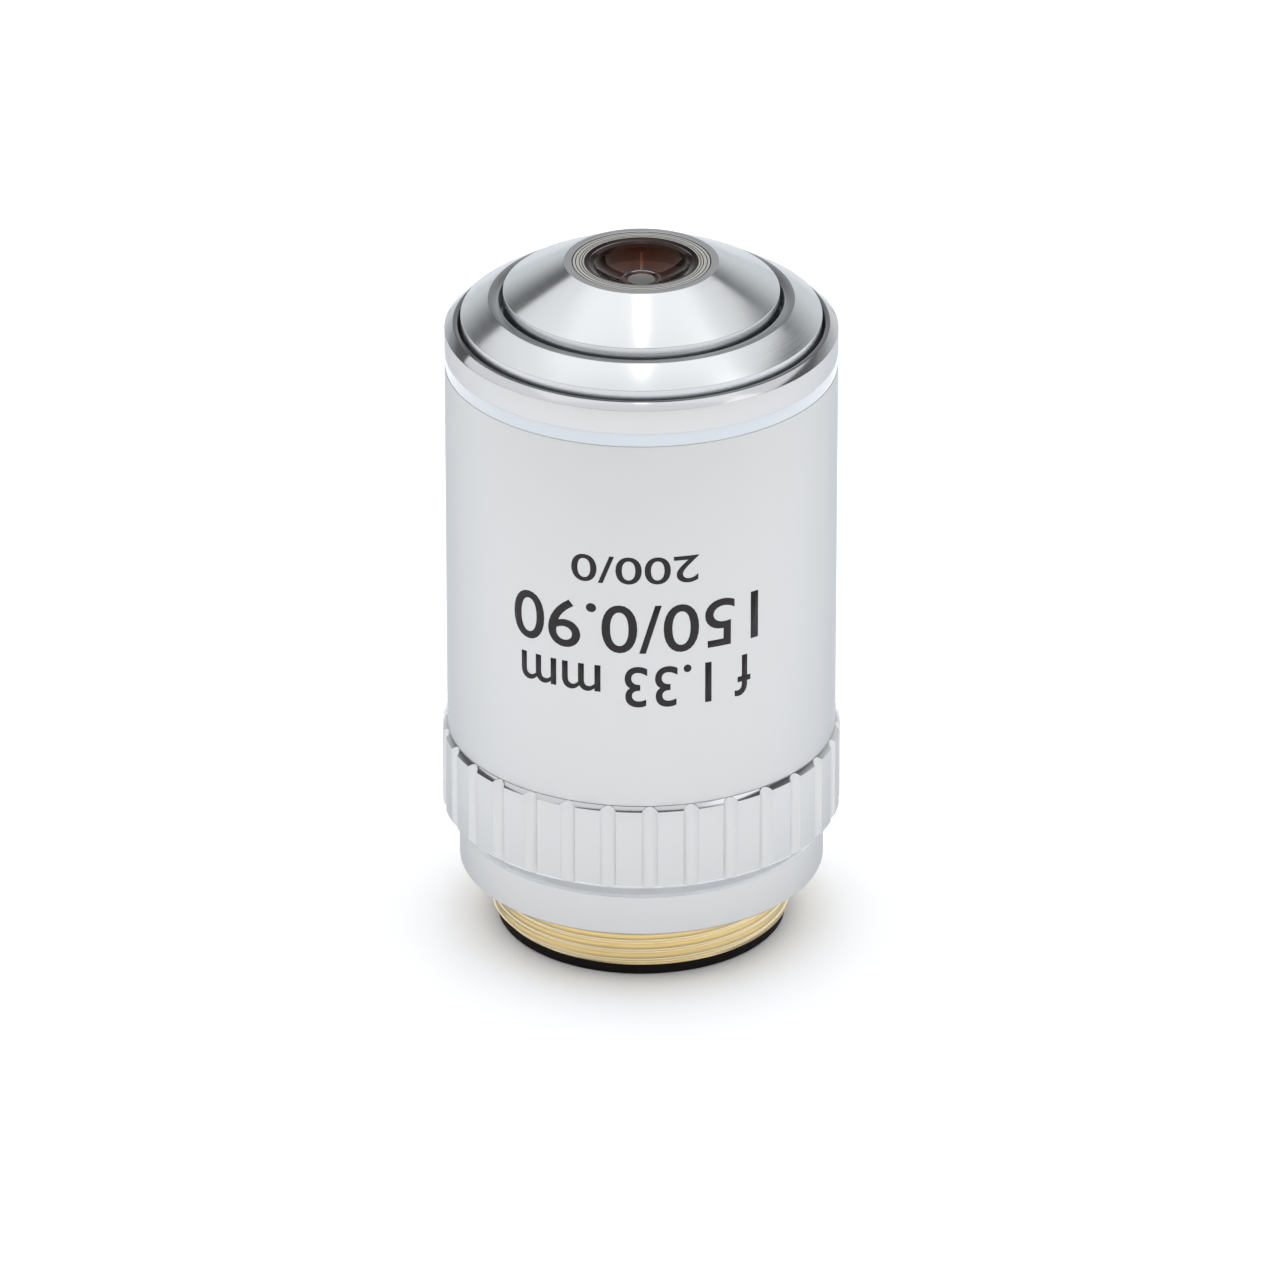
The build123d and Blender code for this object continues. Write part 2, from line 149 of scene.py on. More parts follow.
def makeTurningGroup():
    # fine rings left by the lathe: a noise that changes fast along the section and slowly round the axis
    group, start, end = startGroup(
        "turningMarks",
        {"Rings per mm": 12.0, "Depth": 0.4, "Variation": 0.1},
        {"Mask": "NodeSocketFloat", "Normal": "NodeSocketVector"},
    )
    link = group.links.new
    coords = addNode(group, "ShaderNodeTexCoord", (-900, 300))
    split = addNode(group, "ShaderNodeSeparateXYZ", (-720, 300))
    link(coords.outputs["Object"], split.inputs[0])
    flat = addNode(group, "ShaderNodeCombineXYZ", (-560, 420))
    link(split.outputs[0], flat.inputs[0])
    link(split.outputs[1], flat.inputs[1])
    radius = addNode(group, "ShaderNodeVectorMath", (-400, 420), operation="LENGTH")
    link(flat.outputs[0], radius.inputs[0])
    direction = addNode(group, "ShaderNodeVectorMath", (-400, 240), operation="NORMALIZE")
    link(flat.outputs[0], direction.inputs[0])
    along = addNode(group, "ShaderNodeMath", (-230, 420), operation="ADD")
    link(radius.outputs["Value"], along.inputs[0])
    link(split.outputs[2], along.inputs[1])
    perMetre = addNode(group, "ShaderNodeMath", (-400, 60), operation="MULTIPLY")
    perMetre.inputs[1].default_value = 1000
    link(start.outputs["Rings per mm"], perMetre.inputs[0])
    fast = addNode(group, "ShaderNodeMath", (-60, 420), operation="MULTIPLY")
    link(along.outputs[0], fast.inputs[0])
    link(perMetre.outputs[0], fast.inputs[1])
    splitRound = addNode(group, "ShaderNodeSeparateXYZ", (-230, 240))
    link(direction.outputs[0], splitRound.inputs[0])
    point = addNode(group, "ShaderNodeCombineXYZ", (100, 360))
    link(fast.outputs[0], point.inputs[0])
    link(splitRound.outputs[0], point.inputs[1])
    link(splitRound.outputs[1], point.inputs[2])
    noise = addNode(group, "ShaderNodeTexNoise", (260, 360))
    noise.inputs["Scale"].default_value = 1.0
    noise.inputs["Detail"].default_value = 3.0
    noise.inputs["Roughness"].default_value = 0.65
    link(point.outputs[0], noise.inputs["Vector"])
    centred = addNode(group, "ShaderNodeMath", (430, 360), operation="SUBTRACT")
    centred.inputs[1].default_value = 0.5
    link(noise.outputs["Fac"], centred.inputs[0])
    scaled = addNode(group, "ShaderNodeMath", (560, 360), operation="MULTIPLY")
    link(centred.outputs[0], scaled.inputs[0])
    link(start.outputs["Variation"], scaled.inputs[1])
    link(scaled.outputs[0], end.inputs["Mask"])
    bump = addNode(group, "ShaderNodeBump", (560, 100))
    bump.inputs["Distance"].default_value = 0.004 * mm
    link(start.outputs["Depth"], bump.inputs["Strength"])
    link(noise.outputs["Fac"], bump.inputs["Height"])
    link(bump.outputs[0], end.inputs["Normal"])
    return group


def makeGrainGroup():
    # the even grain of a blasted or anodised surface, with broad faint patches where it was handled
    group, start, end = startGroup(
        "surfaceGrain",
        {"Grain per mm": 14.0, "Depth": 0.3, "Variation": 0.08},
        {"Mask": "NodeSocketFloat", "Normal": "NodeSocketVector"},
    )
    link = group.links.new
    coords = addNode(group, "ShaderNodeTexCoord", (-900, 300))
    perMetre = addNode(group, "ShaderNodeMath", (-700, 100), operation="MULTIPLY")
    perMetre.inputs[1].default_value = 1000
    link(start.outputs["Grain per mm"], perMetre.inputs[0])
    grain = addNode(group, "ShaderNodeTexNoise", (-500, 300))
    grain.inputs["Detail"].default_value = 2.0
    link(coords.outputs["Object"], grain.inputs["Vector"])
    link(perMetre.outputs[0], grain.inputs["Scale"])
    patches = addNode(group, "ShaderNodeTexNoise", (-500, 0))
    patches.inputs["Scale"].default_value = 180
    patches.inputs["Detail"].default_value = 3.0
    link(coords.outputs["Object"], patches.inputs["Vector"])
    both = addNode(group, "ShaderNodeMath", (-280, 150), operation="ADD")
    link(grain.outputs["Fac"], both.inputs[0])
    link(patches.outputs["Fac"], both.inputs[1])
    centred = addNode(group, "ShaderNodeMath", (-100, 150), operation="SUBTRACT")
    centred.inputs[1].default_value = 1.0
    link(both.outputs[0], centred.inputs[0])
    scaled = addNode(group, "ShaderNodeMath", (80, 150), operation="MULTIPLY")
    link(centred.outputs[0], scaled.inputs[0])
    link(start.outputs["Variation"], scaled.inputs[1])
    link(scaled.outputs[0], end.inputs["Mask"])
    bump = addNode(group, "ShaderNodeBump", (300, -100))
    bump.inputs["Distance"].default_value = 0.01 * mm
    link(start.outputs["Depth"], bump.inputs["Strength"])
    link(grain.outputs["Fac"], bump.inputs["Height"])
    link(bump.outputs[0], end.inputs["Normal"])
    return group


turningGroup = makeTurningGroup()
grainGroup = makeGrainGroup()


def makeMetal(name, colour, roughness, group, values, shader=None, tint=0.12):
    # a metal whose roughness and colour both follow the marks in its surface
    material = bpy.data.materials.new(name)
    material.use_nodes = True
    tree = material.node_tree
    surface = tree.nodes["Principled BSDF"]
    surface.inputs["Metallic"].default_value = 1.0
    for key, value in (shader or {}).items():
        surface.inputs[key].default_value = value
    marks = addNode(tree, "ShaderNodeGroup", (-600, 0), node_tree=group)
    for key, value in values.items():
        marks.inputs[key].default_value = value
    rough = addNode(tree, "ShaderNodeMath", (-300, 0), operation="ADD", use_clamp=True)
    rough.inputs[1].default_value = roughness
    tree.links.new(marks.outputs["Mask"], rough.inputs[0])
    tree.links.new(rough.outputs[0], surface.inputs["Roughness"])
    shade = addNode(tree, "ShaderNodeMath", (-460, 220), operation="MULTIPLY_ADD")
    shade.inputs[1].default_value = tint / max(values["Variation"], 0.001)
    shade.inputs[2].default_value = 1.0
    tree.links.new(marks.outputs["Mask"], shade.inputs[0])
    mix = addNode(tree, "ShaderNodeVectorMath", (-300, 220), operation="SCALE")
    mix.inputs[0].default_value = colour
    tree.links.new(shade.outputs[0], mix.inputs["Scale"])
    tree.links.new(mix.outputs[0], surface.inputs["Base Color"])
    tree.links.new(marks.outputs["Normal"], surface.inputs["Normal"])
    if group is turningGroup:
        tangent = addNode(tree, "ShaderNodeTangent", (-300, -300), direction_type="RADIAL", axis="Z")
        tree.links.new(tangent.outputs[0], surface.inputs["Tangent"])
    return material


def makeGlass(name, colour, ior, coating):
    # clear glass whose coating tints what it mirrors, with faint polishing marks in the roughness
    material = bpy.data.materials.new(name)
    material.use_nodes = True
    tree = material.node_tree
    surface = tree.nodes["Principled BSDF"]
    surface.inputs["Base Color"].default_value = (*colour, 1)
    surface.inputs["IOR"].default_value = ior
    surface.inputs["Transmission Weight"].default_value = 1.0
    surface.inputs["Specular Tint"].default_value = (*coating, 1)
    coords = addNode(tree, "ShaderNodeTexCoord", (-800, 0))
    sleeks = addNode(tree, "ShaderNodeTexNoise", (-600, 0))
    sleeks.inputs["Scale"].default_value = 900
    tree.links.new(coords.outputs["Object"], sleeks.inputs["Vector"])
    rough = addNode(tree, "ShaderNodeMath", (-300, 0), operation="MULTIPLY")
    rough.inputs[1].default_value = 0.012
    tree.links.new(sleeks.outputs["Fac"], rough.inputs[0])
    tree.links.new(rough.outputs[0], surface.inputs["Roughness"])
    return material


satinChrome = makeMetal("satinChrome", (0.645, 0.645, 0.641), 0.42, grainGroup,
                        {"Grain per mm": 16.0, "Depth": 0.25, "Variation": 0.06},
                        {"Specular Tint": (0.62, 0.66, 0.70, 1)}, tint=0.03)
gripChrome = makeMetal("gripChrome", (0.632, 0.633, 0.630), 0.38, grainGroup,
                       {"Grain per mm": 16.0, "Depth": 0.25, "Variation": 0.06},
                       {"Specular Tint": (0.62, 0.66, 0.70, 1)}, tint=0.03)
# a lighter copy of the chrome for faces that sit in the grip ring's shade: painted light that lifts that
# shade
paintedLightChrome = makeMetal("paintedLightChrome", (0.93, 0.945, 0.965), 0.60, turningGroup,
                       {"Rings per mm": 12.0, "Depth": 0.1, "Variation": 0.04},
                       {"Specular Tint": (1.0, 1.0, 1.0, 1)}, tint=0.02)
turnedChrome = makeMetal("turnedChrome", (0.640, 0.658, 0.672), 0.22, turningGroup,
                         {"Rings per mm": 22.0, "Depth": 0.45, "Variation": 0.16},
                         {"Anisotropic": 0.85, "Anisotropic Rotation": 0.25,
                          "Specular Tint": (0.85, 0.87, 0.89, 1)}, tint=0.07)
mirrorChrome = makeMetal("mirrorChrome", (0.52, 0.53, 0.545), 0.11, turningGroup,
                         {"Rings per mm": 34.0, "Depth": 0.15, "Variation": 0.06},
                         {"Anisotropic": 0.80, "Anisotropic Rotation": 0.25}, tint=0.05)
paleNickel = makeMetal("paleNickel", (0.70, 0.69, 0.66), 0.42, turningGroup,
                       {"Rings per mm": 20.0, "Depth": 0.5, "Variation": 0.12}, tint=0.10)
bareBrass = makeMetal("bareBrass", (0.97, 0.82, 0.52), 0.30, turningGroup,
                      {"Rings per mm": 14.0, "Depth": 0.4, "Variation": 0.12}, tint=0.10)
springSteel = makeMetal("springSteel", (0.42, 0.42, 0.45), 0.30, grainGroup,
                        {"Grain per mm": 10.0, "Depth": 0.3, "Variation": 0.10}, tint=0.08)
blackAnodised = makeMetal("blackAnodised", (0.009, 0.007, 0.007), 0.60, turningGroup,
                          {"Rings per mm": 10.0, "Depth": 0.5, "Variation": 0.10},
                          {"Metallic": 0.0, "Specular IOR Level": 0.08}, tint=0.2)
# black lens paint for lens edges, cell bores and joints, also used as painted shade on the groove floors of
# the front cell
lensBlackAndShade = makeMetal("lensBlackAndShade", (0.010, 0.006, 0.005), 0.14, grainGroup,
                      {"Grain per mm": 5.0, "Depth": 0.5, "Variation": 0.20},
                      {"Metallic": 0.0, "IOR": 1.5, "Specular IOR Level": 0.3,
                       "Specular Tint": (0.60, 0.26, 0.18, 1)}, tint=0.5)
rimSteel = makeMetal("rimSteel", (0.30, 0.31, 0.35), 0.16, turningGroup,
                     {"Rings per mm": 20.0, "Depth": 0.3, "Variation": 0.08}, tint=0.10)
# grey satin for the lens's central flat: a painted reflection in place of the grey reflection deep in the
# lens
paintedReflectionSatin = makeMetal("paintedReflectionSatin", (0.30, 0.30, 0.30), 0.42, turningGroup,
                        {"Rings per mm": 16.0, "Depth": 0.4, "Variation": 0.12}, tint=0.15)
tipSatin = makeMetal("tipSatin", (0.48, 0.49, 0.505), 0.40, turningGroup,
                     {"Rings per mm": 18.0, "Depth": 0.4, "Variation": 0.12}, tint=0.10)
# a lighter copy of the grip's chrome for the flute walls: painted light that lifts the shade in the flutes
paintedLightFluteChrome = makeMetal("paintedLightFluteChrome", (0.680, 0.681, 0.678), 0.46, grainGroup,
                        {"Grain per mm": 16.0, "Depth": 0.25, "Variation": 0.06}, tint=0.03)
bandEnamel = makeMetal("bandEnamel", (0.65, 0.685, 0.725), 0.22, grainGroup,
                       {"Grain per mm": 6.0, "Depth": 0.2, "Variation": 0.05},
                       {"Metallic": 0.0, "Coat Weight": 0.5}, tint=0.03)
printInk = makeMetal("printInk", (0.016, 0.012, 0.013), 0.45, grainGroup,
                     {"Grain per mm": 12.0, "Depth": 0.3, "Variation": 0.08},
                     {"Metallic": 0.0, "Specular IOR Level": 0.3}, tint=0.15)
coatedGlass = makeGlass("coatedGlass", (0.98, 0.90, 0.84), 1.50, (0.55, 0.16, 0.07))
opticalGlass = makeGlass("opticalGlass", (0.95, 0.92, 0.90), 1.50, (0.30, 0.12, 0.08))
print("materials made")


def finishPiece(piece, material, body, slot, *nodes):
    piece.data.materials.clear()
    piece.data.materials.append(material)
    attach(piece, body)
    if nodes:
        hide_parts(*nodes)
    return piece


def paintFaces(piece, material, chosen):
    # faces picked by a test on their centre and normal get a second finish
    piece.data.materials.append(material)
    index = len(piece.data.materials) - 1
    for face in piece.data.polygons:
        if chosen(face.center / mm, face.normal):
            face.material_index = index


# Outer sleeve with its front bevel and the groove of the colour band

sleeve = {
    "radius": 13.11,
    "wall": 0.86,
    "bottom": 10.18,
    "top": 39.75,
    "rearEdge": 0.03,
    "frontEdge": 0.56,
    "frontEdgeHeight": 0.37,
    "bandTop": 37.73,
    "bandBottom": 36.78,
    "bandDepth": 0.16,
    "bandRecess": 0.02,
    "bandCrown": 0.012,
    "bandShoulder": 0.12,
    "bandGap": 0.01,
    "bandSeat": 0.002,
    "edgeSoftness": 0.015,
}


def makeSleeve():
    radius, top = sleeve["radius"], sleeve["top"]
    bore = radius - sleeve["wall"]
    groove = radius - sleeve["bandDepth"]
    profile = [
        (bore, sleeve["bottom"]),
        (radius - sleeve["rearEdge"], sleeve["bottom"]),
        (radius, sleeve["bottom"] + sleeve["rearEdge"]),
        (radius, sleeve["bandBottom"]),
        (groove, sleeve["bandBottom"]),
        (groove, sleeve["bandTop"]),
        (radius, sleeve["bandTop"]),
        (radius, top - sleeve["frontEdgeHeight"]),
        (radius - sleeve["frontEdge"], top),
        (bore, top),
    ]
    piece = turnPiece("sleeveTube", profile)
    softenEdges(piece, sleeve["edgeSoftness"])
    smoothByAngle(piece)
    finishPiece(piece, satinChrome, "housing", "satin_chrome", "outer_sleeve")
    bevelStart = top - sleeve["frontEdgeHeight"]
    paintFaces(piece, mirrorChrome, lambda centre, normal: centre.z > bevelStart and normal.z > 0.2)
    return piece


def makeBand():
    outer = sleeve["radius"] - sleeve["bandRecess"]
    inner = sleeve["radius"] - sleeve["bandDepth"] + sleeve["bandSeat"]
    low, high = sleeve["bandBottom"] + sleeve["bandGap"], sleeve["bandTop"] - sleeve["bandGap"]
    crown, shoulder = sleeve["bandCrown"], sleeve["bandShoulder"]
    profile = [
        (inner, low),
        (outer - crown, low),
        (outer, low + shoulder),
        (outer, high - shoulder),
        (outer - crown, high),
        (inner, high),
    ]
    piece = turnPiece("enamelBand", profile)
    smoothByAngle(piece)
    return finishPiece(piece, bandEnamel, "housing", "band_enamel", "colour_band")


makeSleeve()
makeBand()
print("sleeve made")


# Grip ring with milled flutes

grip = {
    "radius": 13.43,
    "bore": 11.62,
    "bottom": 4.04,
    "top": 10.18,
    "edge": 0.30,
    "flutes": 30,
    "fluteRadius": 0.65,
    "fluteDepth": 0.30,
    "firstFlute": -87.6,
    "fluteSides": 40,
    "fluteCutLength": 10.0,
    "edgeSoftness": 0.03,
}


def makeGrip():
    radius, edge = grip["radius"], grip["edge"]
    profile = [
        (grip["bore"], grip["bottom"]),
        (radius - edge, grip["bottom"]),
        (radius, grip["bottom"] + edge),
        (radius, grip["top"] - edge),
        (radius - edge, grip["top"]),
        (grip["bore"], grip["top"]),
    ]
    ring = turnPiece("gripRing", profile, segments=360)
    centre = radius - grip["fluteDepth"] + grip["fluteRadius"]
    middle = (grip["bottom"] + grip["top"]) / 2
    cutters = []
    for count in range(grip["flutes"]):
        angle = radians(grip["firstFlute"] + 360 * count / grip["flutes"])
        place = (centre * cos(angle) * mm, centre * sin(angle) * mm, middle * mm)
        clearSelection()
        bpy.ops.mesh.primitive_cylinder_add(vertices=grip["fluteSides"], radius=grip["fluteRadius"] * mm,
                                            depth=grip["fluteCutLength"] * mm, location=place,
                                            rotation=(0, 0, angle))
        cutters.append(bpy.context.object)
    clearSelection()
    for cutter in cutters:
        cutter.select_set(True)
    bpy.context.view_layer.objects.active = cutters[0]
    bpy.ops.object.join()
    cutter = bpy.context.object
    applyModifier(ring, "BOOLEAN", operation="DIFFERENCE", object=cutter, solver="EXACT")
    bpy.data.objects.remove(cutter)
    softenEdges(ring, grip["edgeSoftness"], segments=2, angle=30)
    smoothByAngle(ring, 30)
    finishPiece(ring, gripChrome, "housing", "satin_chrome", "grip_ring")
    chamferLow = grip["top"] - edge
    paintFaces(ring, mirrorChrome,
               lambda centre, normal: centre.z > chamferLow and 0.66 < normal.z < 0.76)
    # the downward faces of the grip ring get the lighter chrome: painted light over their shade
    paintFaces(ring, paintedLightChrome, lambda centre, normal: normal.z < -0.3)
    # flute walls get the lighter chrome: painted light over their shade
    paintFaces(ring, paintedLightFluteChrome, lambda centre, normal: abs(normal.z) < 0.1
               and offAxis(centre) < radius - 0.02)
    return ring


makeGrip()
print("grip made")


# Shoulder collar

collar = {
    "radius": 12.34,
    "height": 3.05,
    "edge": 0.15,
    "bore": 10.42,
    "neckRadius": 11.40,
    "neckTop": 4.04,
    "edgeSoftness": 0.03,
}


def makeCollar():
    radius, edge = collar["radius"], collar["edge"]
    profile = [
        (collar["bore"], 0.0),
        (radius - edge, 0.0),
        (radius, edge),
        (radius, collar["height"] - edge),
        (radius - edge, collar["height"]),
        (collar["neckRadius"], collar["height"]),
        (collar["neckRadius"], collar["neckTop"]),
        (collar["bore"], collar["neckTop"]),
    ]
    piece = turnPiece("shoulderRing", profile)
    softenEdges(piece, collar["edgeSoftness"])
    smoothByAngle(piece)
    finishPiece(piece, satinChrome, "housing", "satin_chrome", "shoulder_collar")
    # the collar's top chamfer, top face and neck get the lighter chrome: painted light over the shade under
    # the grip ring
    paintFaces(piece, paintedLightChrome, lambda centre, normal: centre.z > collar["height"] - edge)
    return piece


makeCollar()
print("collar made")


# Main barrel with its mounting thread

thread = {
    "crest": 10.16,
    "root": 9.80,
    "pitch": 0.7056,
    "sectionSteps": 14,
    "flankSharpness": 0.75,   # 1 is a plain wave, and less makes the crests and roots flatter
    "length": 3.52,
    "endChamfer": 0.26,
    "turns": 7,
    "steps": 240,
}
barrel = {
    "bore": 8.70,
    "springBore": 10.43,
    "springFloor": 12.0,
    "collarSeat": 10.40,
    "gripSeat": 11.60,
    "land": 12.23,
    "relief": 11.90,
    "lowerLandTop": 14.98,
    "upperLandBottom": 33.0,
    "front": 35.9,
    "stopBore": 11.0,
    "stopFloor": 33.9,
}


def threadSection():
    # one pitch of the rounded section, from crest to crest
    middle = (thread["crest"] + thread["root"]) / 2
    depth = (thread["crest"] - thread["root"]) / 2
    points = []
    for step in range(thread["sectionSteps"] + 1):
        wave = cos(2 * pi * step / thread["sectionSteps"])
        shaped = abs(wave) ** thread["flankSharpness"] * (1 if wave > 0 else -1)
        points.append((middle + depth * shaped, thread["pitch"] * step / thread["sectionSteps"]))
    return points


def chamferThreadEnd(skin):
    # crests that stand outside a cone round the thread's end are drawn in to it
    for vertex in skin.data.vertices:
        radius = offAxis(vertex.co)
        limit = (thread["crest"] - thread["endChamfer"] + thread["length"]) * mm + vertex.co.z
        if 0 < limit < radius:
            vertex.co.x *= limit / radius
            vertex.co.y *= limit / radius


def makeThreadSkin():
    # the section is drawn point by point, then wound up the axis
    section = threadSection()
    crest, pitch = thread["crest"], thread["pitch"]
    clearSelection()
    start = -thread["length"] - pitch
    bpy.ops.mesh.primitive_plane_add(size=0.1 * mm, location=(crest * mm, 0, start * mm))
    piece = bpy.context.object
    bpy.ops.object.mode_set(mode="EDIT")
    bpy.ops.mesh.select_all(action="SELECT")
    bpy.ops.mesh.merge(type="CENTER")
    for before, after in zip(section, section[1:]):
        move = ((after[0] - before[0]) * mm, 0, (after[1] - before[1]) * mm)
        bpy.ops.mesh.extrude_region_move(TRANSFORM_OT_translate={"value": move})
    placeInMesh(piece)
    applyModifier(piece, "SCREW", angle=2 * pi, screw_offset=pitch * mm, iterations=thread["turns"],
                  steps=thread["steps"], render_steps=thread["steps"], use_merge_vertices=True,
                  merge_threshold=0.0005 * mm, use_smooth_shade=True)
    chamferThreadEnd(piece)
    bpy.ops.object.mode_set(mode="EDIT")
    for height, keepsAbove in ((0.0, False), (-thread["length"], True)):
        bpy.ops.mesh.select_all(action="SELECT")
        bpy.ops.mesh.bisect(plane_co=(0, 0, height * mm), plane_no=(0, 0, 1), threshold=0.0002 * mm,
                            clear_inner=keepsAbove, clear_outer=not keepsAbove)
    bpy.ops.object.mode_set(mode="OBJECT")
    return piece


def selectLoopAt(piece, height, tolerance=0.0005):
    # open edges that lie in one plane across the axis
    bpy.ops.object.mode_set(mode="EDIT")
    bpy.ops.mesh.select_mode(type="EDGE")
    bpy.ops.mesh.select_all(action="DESELECT")
    bpy.ops.mesh.select_non_manifold(extend=False, use_wire=True, use_boundary=True,
                                     use_multi_face=False, use_non_contiguous=False, use_verts=False)
    bpy.ops.object.mode_set(mode="OBJECT")
    points = piece.data.vertices
    for edge in piece.data.edges:
        if edge.select:
            level = all(abs(points[index].co.z / mm - height) < tolerance for index in edge.vertices)
            edge.select = level
    bpy.ops.object.mode_set(mode="EDIT")


def makeBarrel():
    profile = [
        (barrel["collarSeat"], 0.0),
        (barrel["collarSeat"], collar["neckTop"]),
        (barrel["gripSeat"], collar["neckTop"]),
        (barrel["gripSeat"], grip["top"]),
        (barrel["land"], grip["top"]),
        (barrel["land"], barrel["lowerLandTop"]),
        (barrel["relief"], barrel["lowerLandTop"]),
        (barrel["relief"], barrel["upperLandBottom"]),
        (barrel["land"], barrel["upperLandBottom"]),
        (barrel["land"], barrel["front"]),
        (barrel["stopBore"], barrel["front"]),
        (barrel["stopBore"], barrel["stopFloor"]),
        (barrel["springBore"], barrel["stopFloor"]),
        (barrel["springBore"], barrel["springFloor"]),
        (barrel["bore"], barrel["springFloor"]),
        (barrel["bore"], -thread["length"]),
    ]
    tube = turnPiece("brassBarrel", profile, segments=thread["steps"], closed=False)
    skin = makeThreadSkin()
    clearSelection()
    skin.select_set(True)
    tube.select_set(True)
    bpy.context.view_layer.objects.active = tube
    bpy.ops.object.join()
    for height in (0.0, -thread["length"]):
        selectLoopAt(tube, height)
        bpy.ops.mesh.fill(use_beauty=True)
        bpy.ops.object.mode_set(mode="OBJECT")
    bpy.ops.object.mode_set(mode="EDIT")
    bpy.ops.mesh.select_all(action="SELECT")
    bpy.ops.mesh.remove_doubles(threshold=0.0005 * mm)
    bpy.ops.mesh.normals_make_consistent(inside=False)
    bpy.ops.object.mode_set(mode="OBJECT")
    smoothByAngle(tube, 40)
    return finishPiece(tube, bareBrass, "housing", "bare_brass", "main_barrel")


makeBarrel()
print("barrel and thread made")


# Black rear ring with two spanner slots

rearRing = {
    "radius": 9.78,
    "bottom": -4.34,
    "spigotTop": -1.02,
    "spigotRadius": 8.68,
    "bore": 7.00,
    "edge": 0.12,
    "slotWidth": 1.20,
    "slotDepth": 0.50,
    "slotReach": 1.30,
    "edgeSoftness": 0.03,
}


def makeRearRing():
    radius, edge = rearRing["radius"], rearRing["edge"]
    profile = [
        (rearRing["bore"], rearRing["bottom"]),
        (radius - edge, rearRing["bottom"]),
        (radius, rearRing["bottom"] + edge),
        (radius, -thread["length"]),
        (rearRing["spigotRadius"], -thread["length"]),
        (rearRing["spigotRadius"], rearRing["spigotTop"]),
        (rearRing["bore"], rearRing["spigotTop"]),
    ]
    piece = turnPiece("rearRing", profile)
    clearSelection()
    length = 2 * (rearRing["bore"] + rearRing["slotReach"])
    bpy.ops.mesh.primitive_cube_add(size=mm, location=(0, 0, rearRing["bottom"] * mm))
    slotCutter = bpy.context.object
    bpy.ops.transform.resize(value=(rearRing["slotWidth"], length, 2 * rearRing["slotDepth"]))
    placeInMesh(slotCutter)
    applyModifier(piece, "BOOLEAN", operation="DIFFERENCE", object=slotCutter, solver="EXACT")
    bpy.data.objects.remove(slotCutter)
    softenEdges(piece, rearRing["edgeSoftness"])
    smoothByAngle(piece)
    return finishPiece(piece, blackAnodised, "housing", "black_anodised", "rear_ring")


makeRearRing()
print("rear ring made")


# Bevelled guide ring and the cone of the nose

guide = {
    "side": 12.03,
    "bottom": 38.20,
    "lip": 10.20,
    "lipHeight": 41.46,
    "flankHeight": 1.12,
    "bore": 9.50,
    "mouthEdge": 0.16,
    "mouthEdgeHeight": 0.06,
    "seat": 9.22,
    "seatTop": 39.90,
    "edgeSoftness": 0.02,
}
cone = {
    "radius": 9.20,
    "bottom": 39.90,
    "height": 2.06,
    "tipRadius": 5.14,
    "top": 44.15,
    "cellRadius": 4.61,
    "jointEdge": 0.03,
    "cellShoulder": 42.30,
    "flangeRadius": 6.22,
    "flangeBottom": 40.80,
    "spigotRadius": 7.98,
    "spigotBottom": 37.40,
    "bore": 7.20,
    "edgeSoftness": 0.03,
}


def makeGuide():
    lipHeight = guide["lipHeight"]
    profile = [
        (guide["seat"], guide["bottom"]),
        (guide["side"], guide["bottom"]),
        (guide["side"], lipHeight - guide["flankHeight"]),
        (guide["lip"], lipHeight),
        (guide["bore"] + guide["mouthEdge"], lipHeight),
        (guide["bore"], lipHeight - guide["mouthEdgeHeight"]),
        (guide["bore"], guide["seatTop"]),
        (guide["seat"], guide["seatTop"]),
    ]
    piece = turnPiece("guideRing", profile)
    softenEdges(piece, guide["edgeSoftness"])
    smoothByAngle(piece)
    return finishPiece(piece, turnedChrome, "nose", "polished_chrome", "front_guide")


def makeCone():
    profile = [
        (cone["bore"], cone["spigotBottom"]),
        (cone["spigotRadius"], cone["spigotBottom"]),
        (cone["spigotRadius"], cone["bottom"]),
        (cone["radius"], cone["bottom"]),
        (cone["radius"], cone["top"] - cone["height"]),
        (cone["tipRadius"], cone["top"]),
        (cone["cellRadius"] + cone["jointEdge"], cone["top"]),
        (cone["cellRadius"], cone["top"] - 2 * cone["jointEdge"]),
        (cone["cellRadius"], cone["cellShoulder"]),
        (cone["flangeRadius"], cone["cellShoulder"]),
        (cone["flangeRadius"], cone["flangeBottom"]),
        (cone["bore"], cone["flangeBottom"]),
    ]
    piece = turnPiece("noseCone", profile)
    softenEdges(piece, cone["edgeSoftness"])
    smoothByAngle(piece)
    finishPiece(piece, turnedChrome, "nose", "polished_chrome", "nose_cone")
    tip = cone["tipRadius"]
    paintFaces(piece, tipSatin, lambda centre, normal: centre.z > cone["top"] - 0.02
               and offAxis(centre) < tip)
    paintFaces(piece, lensBlackAndShade, lambda centre, normal: centre.z > cone["cellShoulder"]
               and offAxis(centre) < cone["cellRadius"] + cone["jointEdge"])
    return piece


makeGuide()
makeCone()
print("nose made")


# Front cell and front lens

